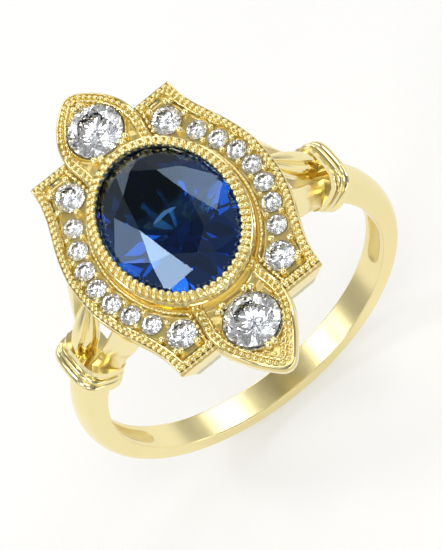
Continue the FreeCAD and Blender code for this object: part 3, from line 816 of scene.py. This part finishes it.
def tip_milgrain(stone_r):
    """Rows of grains on the tips' borders, and pebbled gold on their floors."""
    def clear(p):
        return math.hypot(p[0], p[1] - TIP_STONE_Y) - stone_r

    beads = Shape()
    rng = np.random.default_rng(11)
    count = round(path_length(tip_edge(0.22)) / BEAD_PITCH)
    for inset, radii, start in TIP_BEADS:
        for p, d in zip(*evenly(tip_edge(inset), count, start)):
            k = 1 + 0.10 * rng.uniform(-1, 1)
            grain(beads, (*p, tip_top(p[1]) - 0.10), [r * k for r in radii], d)
    for p, d in zip(*evenly(tip_edge(0.58), count)):  # a broken row inside the border
        k = 1 + 0.3 * rng.uniform(-1, 1)
        if clear(p) > 0.16 and 0.7 < p[1] - tip_start(p[0]) and p[1] < TIP_APEX - 1.35:
            grain(beads, (*p, tip_top(p[1]) - 0.24), (0.11 * k, 0.10 * k, 0.10), d)
    for p in rng.uniform(*PEBBLE_AREA, (PEBBLE_TRIES, 2)):
        if clear(p) > 0.22 and distance_to(tip_edge(0.0), p[None])[0] > 0.62:
            r = rng.uniform(0.07, 0.11)
            grain(beads, (*p, tip_top(p[1]) - TIP_FLOOR), (r, r, 0.07))
    add_gold(ENDS, "{}_tip_milgrain", beads, BEADED)


# ---- bezel
# the outside and the rim, from the waist up and inwards: offset from the outline, height
BEZEL_PROFILE = [(0.0, BEZEL_WAIST), (0.0, 12.10), (-0.05, 12.14), (-0.05, 12.27),
                 (0.0, 12.31), (0.0, 12.43), (-0.03, 12.49), (-0.07, 12.50), (-0.10, 12.48),
                 (-0.13, 12.42), (-0.16, 12.40), (-0.30, 12.46), (-0.48, 12.52),
                 (-0.58, 12.50), (-RIM_IN, 12.44), (-RIM_IN - 0.01, 12.34)]
CUP_MOUTH = -0.72  # offset of the cup's open bottom
GIRDLE_DEPTH = 1.10  # of the sapphire, below its table
TEETH = 66  # round the bezel
TEETH_A, TEETH_B = 3.60, 4.65
# grains of each tooth: outward, ahead, height, radii (along, across, up), fineness
TOOTH_GRAINS = [(-0.03, 0.0, 12.60, (0.180, 0.185, 0.20), 3),
                (0.12, 0.0, 12.49, (0.150, 0.20, 0.14), 3),
                (0.23, 0.05, 12.50, (0.165, 0.155, 0.15), 3),
                (0.43, 0.0, 12.28, (0.11, 0.035, 0.10), 2)]


def oval_ring(a, b, offset, z, count=288):
    """Oval of half axes a and b at a height, offset outwards along its normals."""
    out = []
    for k in range(count):
        t = 2 * math.pi * k / count
        n = np.array([b * math.cos(t), a * math.sin(t)])
        n /= np.linalg.norm(n)
        x, y = a * math.cos(t) + n[0] * offset, b * math.sin(t) + n[1] * offset
        out.append(np.array([x, y, z]))
    return out


def build_bezel():
    """Tall oval cup round the sapphire, with a toothed rim."""
    a, b = BEZEL_A, BEZEL_B
    rings = [oval_ring(CUP_A, CUP_B, CUP_MOUTH, HALO_BOTTOM),
             oval_ring(CUP_A, CUP_B, -0.03, HALO_BOTTOM),
             oval_ring(CUP_A, CUP_B, 0.0, HALO_BOTTOM + 0.04)]
    rings += [oval_ring(a, b, offset, z) for offset, z in BEZEL_PROFILE]
    low, high = box_mm("sapphire")
    girdle_z = high[2] - GIRDLE_DEPTH
    # inside, a tapered bearing follows the stone's pavilion down to the cup's mouth
    rings.append(oval_ring(a, b, -0.60, girdle_z - 0.14))
    for z in (girdle_z - 0.40, HALO_BOTTOM + 0.5, HALO_BOTTOM):
        part = (z - low[2]) / (girdle_z - low[2])
        rings.append(oval_ring(high[0] * part, high[1] * part, BEARING_GAP, z))
    rings.append(oval_ring(CUP_A, CUP_B, CUP_MOUTH, HALO_BOTTOM))
    shape = Shape().loft(rings, caps=(False, False))
    add_gold(ONCE, "bezel_cup", shape, POLISHED, "centre_bezel")

    beads = Shape()
    rng = np.random.default_rng(3)
    ring = oval_ring(TEETH_A, TEETH_B, 0.0, 0.0)
    for p, d in zip(*evenly(np.array(ring + ring[:1])[:, :2], TEETH, 0.5)):
        outward = np.array([d[1], -d[0]])
        k = 1 + 0.08 * rng.uniform(-1, 1)
        for out, on, z, radii, fine in TOOTH_GRAINS:
            grain(beads, (*(p + outward * out + d * on), z), (radii[0] * k, *radii[1:]), d,
                  fine=fine)
    add_gold(ONCE, "bezel_milgrain", beads, BEADED)


# ---- grains that hold stones
PAVE_GRAIN_OUT, PAVE_GRAIN_Z, PAVE_GRAIN_R = 0.40, 11.77, 0.165
# grains round a corner stone, outwards from its middle; the first is split in two
CORNER_GRAINS = [(0.72, 0.78), (-0.42, 0.96), (1.02, -0.42), (0.20, -1.06)]
CORNER_REACH = 0.94
SPLIT_CORNER_Z, SPLIT_CORNER_R = 11.91, 0.19
CORNER_Z, CORNER_R = 11.88, 0.20
# split grains round the rear tip's stone: x, y, radius, height
TIP_GRAINS = [(0.86, 5.58, 0.25, 12.14), (-0.86, 5.58, 0.25, 12.14), (0.0, 8.82, 0.24, 12.04)]


def split_grain(shape, x, y, z, r, toward):
    """Pair of touching grains cut from one, on a stem, facing a direction."""
    d = np.array(toward, float) / np.linalg.norm(toward)
    side = np.array([-d[1], d[0]])
    for s in (-1, 1):
        c = np.array([x, y]) + side * r * 0.74 * s
        grain(shape, (c[0], c[1], z - r * 0.9), (r, r * 0.85, r * 1.0), d, fine=3)
        grain(shape, (c[0], c[1], z - r * 1.9), (r * 0.8, r * 0.75, r * 1.6), d)


def single_grain(shape, x, y, z, r):
    """Round grain on its stem."""
    grain(shape, (x, y, z - r), (r, r, r), fine=3)
    grain(shape, (x, y, z - r * 2.0), (r * 0.85, r * 0.85, r * 1.5))


def with_mirrors(shape, places):
    """One shape made of mirror images."""
    out = Shape()
    for signs in places.values():
        out.add(shape.mirrored(*signs).verts, shape.faces)
    return out


def build_grains():
    """Raised grains that hold the diamonds."""
    side = sorted((stone_of(n)[0] for n in stone_nodes(["right", "side_diamond"])),
                  key=lambda c: c[1])
    row = Shape()
    for p, q in zip(side, side[1:]):
        along = (q - p)[:2] / np.linalg.norm((q - p)[:2])
        across = np.array([-along[1], along[0]])
        mid = (p + q)[:2] / 2
        for s in (-1, 1):
            c = mid + across * PAVE_GRAIN_OUT * s
            single_grain(row, *c, PAVE_GRAIN_Z, PAVE_GRAIN_R)
    add_gold(ONCE, "pave_grains", with_mirrors(row, SIDES), BEADED, "pave_beads")

    corner = stone_of("right_rear_corner_diamond")[0]
    corners = Shape()
    for n, (dx, dy) in enumerate(CORNER_GRAINS):
        x, y = corner[0] + dx * CORNER_REACH, corner[1] + dy * CORNER_REACH
        if n == 0:
            split_grain(corners, x, y, SPLIT_CORNER_Z, SPLIT_CORNER_R, (dx, dy))
        else:
            single_grain(corners, x, y, CORNER_Z, CORNER_R)
    add_gold(ONCE, "corner_grains", with_mirrors(corners, QUARTERS), BEADED, "corner_prongs")

    tips = Shape()
    for x, y, r, z in TIP_GRAINS:
        split_grain(tips, x, y, z, r, (x, y - TIP_STONE_Y))
    add_gold(ONCE, "tip_grains", with_mirrors(tips, ENDS), BEADED, "tip_prongs")


# ---- cut stones
# the oval's half axes through the table's corners, and its heights
SAPPHIRE_TABLE, SAPPHIRE_CROWN, SAPPHIRE_GIRDLE = (1.52, 3.05), 1.03, 0.13
SAPPHIRE_STAR, SAPPHIRE_LOWER = 0.70, 0.70
# round stones, as parts of their width
ROUND_TABLE, ROUND_CROWN, ROUND_GIRDLE, ROUND_PAVILION = 0.285, 0.155, 0.025, 0.43
ROUND_TURN_DEG = 17.0  # each round stone is turned on from the one before


def clip(faces, normal, distance):
    """Cut a convex solid, held as a list of polygons, by the plane normal.p = distance."""
    kept, rim = [], []
    for poly in faces:
        out = []
        for i, p in enumerate(poly):
            q = poly[(i + 1) % len(poly)]
            dp, dq = normal.dot(p) - distance, normal.dot(q) - distance
            if dp <= 1e-9:
                out.append(p)
            if (dp < -1e-9 and dq > 1e-9) or (dp > 1e-9 and dq < -1e-9):
                cut = p + (q - p) * (dp / (dp - dq))
                out.append(cut)
                rim.append(cut)
            elif abs(dp) <= 1e-9:
                rim.append(p)
        if len(out) > 2:
            kept.append(out)
    loop = []
    for p in rim:
        if all((p - q).length > 1e-6 for q in loop):
            loop.append(p)
    if len(loop) > 2:
        centre = sum(loop, Vector()) / len(loop)
        across = (loop[0] - centre).normalized()
        up = normal.cross(across)
        loop.sort(key=lambda p: math.atan2((p - centre).dot(up), (p - centre).dot(across)))
        kept.append(loop)
    return kept


def plane_meeting(first, second, height):
    """Point where two planes (normal, distance) meet at a height."""
    (n, d), (m, e) = first, second
    det = n.x * m.y - n.y * m.x
    p, q = d - n.z * height, e - m.z * height
    return Vector(((p * m.y - q * n.y) / det, (n.x * q - m.x * p) / det, height))


def plane_of(p, q, r):
    """Plane (normal, distance) of three points, facing away from the stone's middle."""
    normal = (q - p).cross(r - p).normalized()
    if normal.dot(p) < 0:
        normal = -normal
    return normal, normal.dot(p)


def faceted(width, length, table, crown, girdle, pavilion, star=0.66, lower=0.80):
    """Brilliant-cut stone, round or oval, with its girdle's middle plane at z = 0.

    width and length are the girdle's, table holds the half axes through the table's
    corners, and crown, girdle and pavilion are heights.  star and lower are the heights,
    as parts of crown and pavilion, where the star and the lower facets meet the mains.
    """
    a, b, g = width / 2, length / 2, girdle / 2

    def rim(k, z):
        t = math.pi * k / 8
        return Vector((a * math.cos(t), b * math.sin(t), z))

    def corner(k):
        t = math.pi * k / 8
        return Vector((table[0] * math.cos(t), table[1] * math.sin(t), g + crown))

    s, low, high = max(a, b) * 1.2, -g - pavilion - 1, g + crown
    quad = [(-s, -s), (s, -s), (s, s), (-s, s)]
    faces = [[Vector((x, y, low)) for x, y in reversed(quad)],
             [Vector((x, y, high)) for x, y in quad]]
    for (x0, y0), (x1, y1) in zip(quad, quad[1:] + quad[:1]):
        faces.append([Vector((x0, y0, low)), Vector((x1, y1, low)),
                      Vector((x1, y1, high)), Vector((x0, y0, high))])
    for k in range(16):  # the girdle
        faces = clip(faces, *plane_of(rim(k, g), rim(k + 1, g), rim(k, -1)))
    culet = Vector((0, 0, -g - pavilion))
    kites, mains = {}, {}
    for k in range(0, 18, 2):
        tangent = rim(k + 1, g) - rim(k - 1, g)
        kites[k] = plane_of(rim(k, g), rim(k, g) + tangent, corner(k))
        mains[k] = plane_of(rim(k, -g), rim(k, -g) + tangent, culet)
        faces = clip(clip(faces, *kites[k]), *mains[k])
    for k in range(0, 16, 2):
        tip = plane_meeting(kites[k], kites[k + 2], g + crown * star)
        faces = clip(faces, *plane_of(corner(k), corner(k + 2), tip))
        deep = plane_meeting(mains[k], mains[k + 2], -g - pavilion * lower)
        for j in (k, k + 1):
            faces = clip(faces, *plane_of(rim(j, g), rim(j + 1, g), tip))
            faces = clip(faces, *plane_of(rim(j, -g), rim(j + 1, -g), deep))
    return faces


def stone_shape(faces, centre, turn_deg=0.0):
    """Stone's polygons, turned about its axis and moved to its place."""
    shape = Shape()
    c, s = math.cos(math.radians(turn_deg)), math.sin(math.radians(turn_deg))
    for poly in faces:
        pts = [(p.x * c - p.y * s + centre[0], p.x * s + p.y * c + centre[1], p.z + centre[2])
               for p in poly]
        shape.add(pts, [tuple(range(len(pts)))])
    return shape


def build_stones():
    """The oval sapphire and the round diamonds, each inside its CAD stone's box."""
    low, high = box_mm("sapphire")
    width, length = high[0] - low[0], high[1] - low[1]
    middle = high[2] - SAPPHIRE_CROWN - SAPPHIRE_GIRDLE / 2
    faces = faceted(width, length, SAPPHIRE_TABLE, SAPPHIRE_CROWN, SAPPHIRE_GIRDLE,
                    middle - SAPPHIRE_GIRDLE / 2 - low[2], SAPPHIRE_STAR, SAPPHIRE_LOWER)
    add_mesh("sapphire_oval", stone_shape(faces, (0, 0, middle)), SAPPHIRE,
             ["sapphire"], smooth=False)
    for n, node in enumerate(stone_nodes(["diamond"])):
        centre, d, top = stone_of(node)
        faces = faceted(d, d, (ROUND_TABLE * d, ROUND_TABLE * d), ROUND_CROWN * d,
                        ROUND_GIRDLE * d, ROUND_PAVILION * d)
        spot = (centre[0], centre[1], top - ROUND_CROWN * d - ROUND_GIRDLE / 2 * d)
        shape = stone_shape(faces, spot, ROUND_TURN_DEG * n)
        add_mesh(node + "_cut", shape, DIAMOND, [node], smooth=False)


# ---- studio
FLOOR_HALF, FLOOR_BELOW = 2.5, 0.00002  # metres
# painted light: the floor's glow, strongest near the ring, pales the ring's shadow on it
FLOOR_FADE = (0.03, 0.25)  # metres from the ring where the floor's glow fades
FLOOR_GLOW = (0.47, 0.12)
CAMERA_LENS, CAMERA_SENSOR = 378.62, 36.0
CAMERA_AT = Vector((-8.79124076, -144.29926316, 264.60349341))  # mm
CAMERA_RIGHT = Vector((0.77905802, -0.55959627, -0.28270236))
CAMERA_UP = Vector((0.62617382, 0.67204117, 0.39530623))
CAMERA_BACK = Vector((-0.03122427, -0.48498731, 0.87396359))
TABLE_MIRROR = (-CAMERA_BACK.x, -CAMERA_BACK.y, CAMERA_BACK.z)  # what flat tops reflect
WORLD_LEVEL = 0.44
WARM_WHITE = (1.0, 0.995, 0.985, 1)
# darker parts of the surroundings: direction, inner and outer degrees, brightness there
DARK_ZONES = [(TABLE_MIRROR, 5, 15, 0.3), (CAMERA_BACK, 3, 8, 0.3),
              ((0.60, -0.42, 0.68), 12, 28, 0.45), ((0.03, -0.85, 0.46), 7, 17, 0.12)]
LIGHT_DISTANCE = 1.0  # metres from the ring
# name, direction, width and height in metres, radiance; the keys light the sapphire's crown
LIGHTS = [("left_key", (-0.51, 0.37, 0.77), (0.20, 0.20), 11.0),
          ("left_key_low", (-0.71, -0.09, 0.70), (0.20, 0.20), 8.0),
          ("left_key_back", (-0.70, 0.48, 0.53), (0.20, 0.20), 2.2),
          ("left_wall", (-1.0, -0.15, 0.30), (0.7, 0.35), 0.8),
          ("right_back_wall", (0.62, 0.53, 0.55), (0.45, 0.45), 2.4),
          ("right_wall", (1.0, 0.10, 0.25), (0.6, 0.3), 1.3),
          ("front_wall", (0.30, -1.0, 0.12), (0.9, 0.3), 1.6),
          ("back_wall", (-0.1, 1.0, 0.30), (0.7, 0.3), 1.2)]
# squares that make the stones and the grains sparkle: direction, size, radiance
SPARKLE = [((0.0, -0.22, 0.97), 0.40, 3.4), ((-0.55, -0.62, 0.56), 0.28, 3.2),
           ((0.20, 0.85, 0.50), 0.24, 3.2), ((-0.40, 0.82, 0.42), 0.20, 3.2),
           ((0.95, -0.10, 0.32), 0.24, 3.2), ((0.44, 0.16, 0.88), 0.22, 3.2)]


def floor():
    """Pale floor that the ring stands on, with painted light: it glows from within, most near
    the ring, so the ring's shadow on it stays faint.
    """
    z, half = CAD_BOX[0].z - FLOOR_BELOW, FLOOR_HALF
    mesh = bpy.data.meshes.new("floor")
    mesh.from_pydata([(-half, -half, z), (half, -half, z), (half, half, z), (-half, half, z)],
                     [], [(0, 1, 2, 3)])
    obj = new_object("floor", mesh)
    mat, nodes, links, shader = new_material("floor_painted_glow")
    set_inputs(shader, {"Base Color": (0.50, 0.50, 0.495, 1), "Roughness": 0.6,
                        "Specular IOR Level": 0.2, "Emission Color": WARM_WHITE})
    # painted light: the floor glows, most near the ring, and the glow fades outwards
    coords = nodes.new("ShaderNodeTexCoord")
    reach = nodes.new("ShaderNodeVectorMath")
    reach.operation = "LENGTH"
    links.new(coords.outputs["Object"], reach.inputs[0])
    falloff = nodes.new("ShaderNodeMapRange")
    falloff.interpolation_type = "SMOOTHSTEP"
    set_inputs(falloff, {"From Min": FLOOR_FADE[0], "From Max": FLOOR_FADE[1],
                         "To Min": FLOOR_GLOW[0], "To Max": FLOOR_GLOW[1]})
    links.new(reach.outputs["Value"], falloff.inputs["Value"])
    links.new(falloff.outputs["Result"], shader.inputs["Emission Strength"])
    mesh.materials.append(mat)


def softbox(name, direction, size, radiance):
    """Rectangular light that looks at the ring, as bright as the radiance says."""
    light = bpy.data.lights.new(name, "AREA")
    light.shape = "RECTANGLE"
    light.size, light.size_y = size
    light.energy = radiance * math.pi * size[0] * size[1]
    obj = new_object(name, light)
    d = Vector(direction).normalized()
    obj.location = d * LIGHT_DISTANCE
    obj.rotation_mode = "QUATERNION"
    obj.rotation_quaternion = (-d).to_track_quat("-Z", "Y")


def world(level, zones):
    """Even white surroundings with smooth darker or brighter zones in given directions."""
    scene_world = bpy.data.worlds.new("studio")
    bpy.context.scene.world = scene_world
    scene_world.use_nodes = True
    nodes, links = scene_world.node_tree.nodes, scene_world.node_tree.links
    coords = nodes.new("ShaderNodeTexCoord")
    value = None
    for direction, inner, outer, target in zones:
        dot = nodes.new("ShaderNodeVectorMath")
        dot.operation = "DOT_PRODUCT"
        dot.inputs[1].default_value = Vector(direction).normalized()
        links.new(coords.outputs["Generated"], dot.inputs[0])
        zone = nodes.new("ShaderNodeMapRange")
        zone.interpolation_type = "SMOOTHSTEP"
        set_inputs(zone, {"From Min": math.cos(math.radians(outer)), "To Min": 1.0,
                          "From Max": math.cos(math.radians(inner)), "To Max": target})
        links.new(dot.outputs["Value"], zone.inputs["Value"])
        if value is None:
            value = zone.outputs["Result"]
        else:
            product = nodes.new("ShaderNodeMath")
            product.operation = "MULTIPLY"
            links.new(value, product.inputs[0])
            links.new(zone.outputs["Result"], product.inputs[1])
            value = product.outputs[0]
    strength = nodes.new("ShaderNodeMath")
    strength.operation = "MULTIPLY"
    strength.inputs[1].default_value = level
    links.new(value, strength.inputs[0])
    links.new(strength.outputs[0], nodes["Background"].inputs["Strength"])
    nodes["Background"].inputs["Color"].default_value = WARM_WHITE


def camera():
    """Portrait view from high in front, turned so that the finger runs down to the right."""
    data = bpy.data.cameras.new("camera")
    data.lens, data.sensor_width = CAMERA_LENS, CAMERA_SENSOR
    data.clip_start, data.clip_end = 0.02, 20.0
    obj = new_object("camera", data)
    obj.rotation_mode = "QUATERNION"
    turn = Matrix((CAMERA_RIGHT, CAMERA_UP, CAMERA_BACK)).transposed()
    obj.rotation_quaternion = turn.to_quaternion()
    obj.location = CAMERA_AT * MM
    bpy.context.scene.camera = obj


def studio():
    """Floor, surroundings, lights and how light is traced."""
    floor()
    world(WORLD_LEVEL, DARK_ZONES)
    for light in LIGHTS:
        softbox(*light)
    for n, (direction, size, radiance) in enumerate(SPARKLE):
        softbox("sparkle_%d" % n, direction, (size, size), radiance)
    scene = bpy.context.scene
    scene.view_settings.view_transform = "Standard"
    scene.view_settings.look = "None"
    scene.cycles.max_bounces = 24
    scene.cycles.transmission_bounces = 20
    scene.cycles.glossy_bounces = 8


# ---- build
camera()
build_shank()
build_collars()
build_branches()
build_leaves()
build_panels()
build_tips()
build_bezel()
build_grains()
build_stones()
frame["nodes"]["gallery_base"].data.materials.clear()
frame["nodes"]["gallery_base"].data.materials.append(POLISHED)
studio()
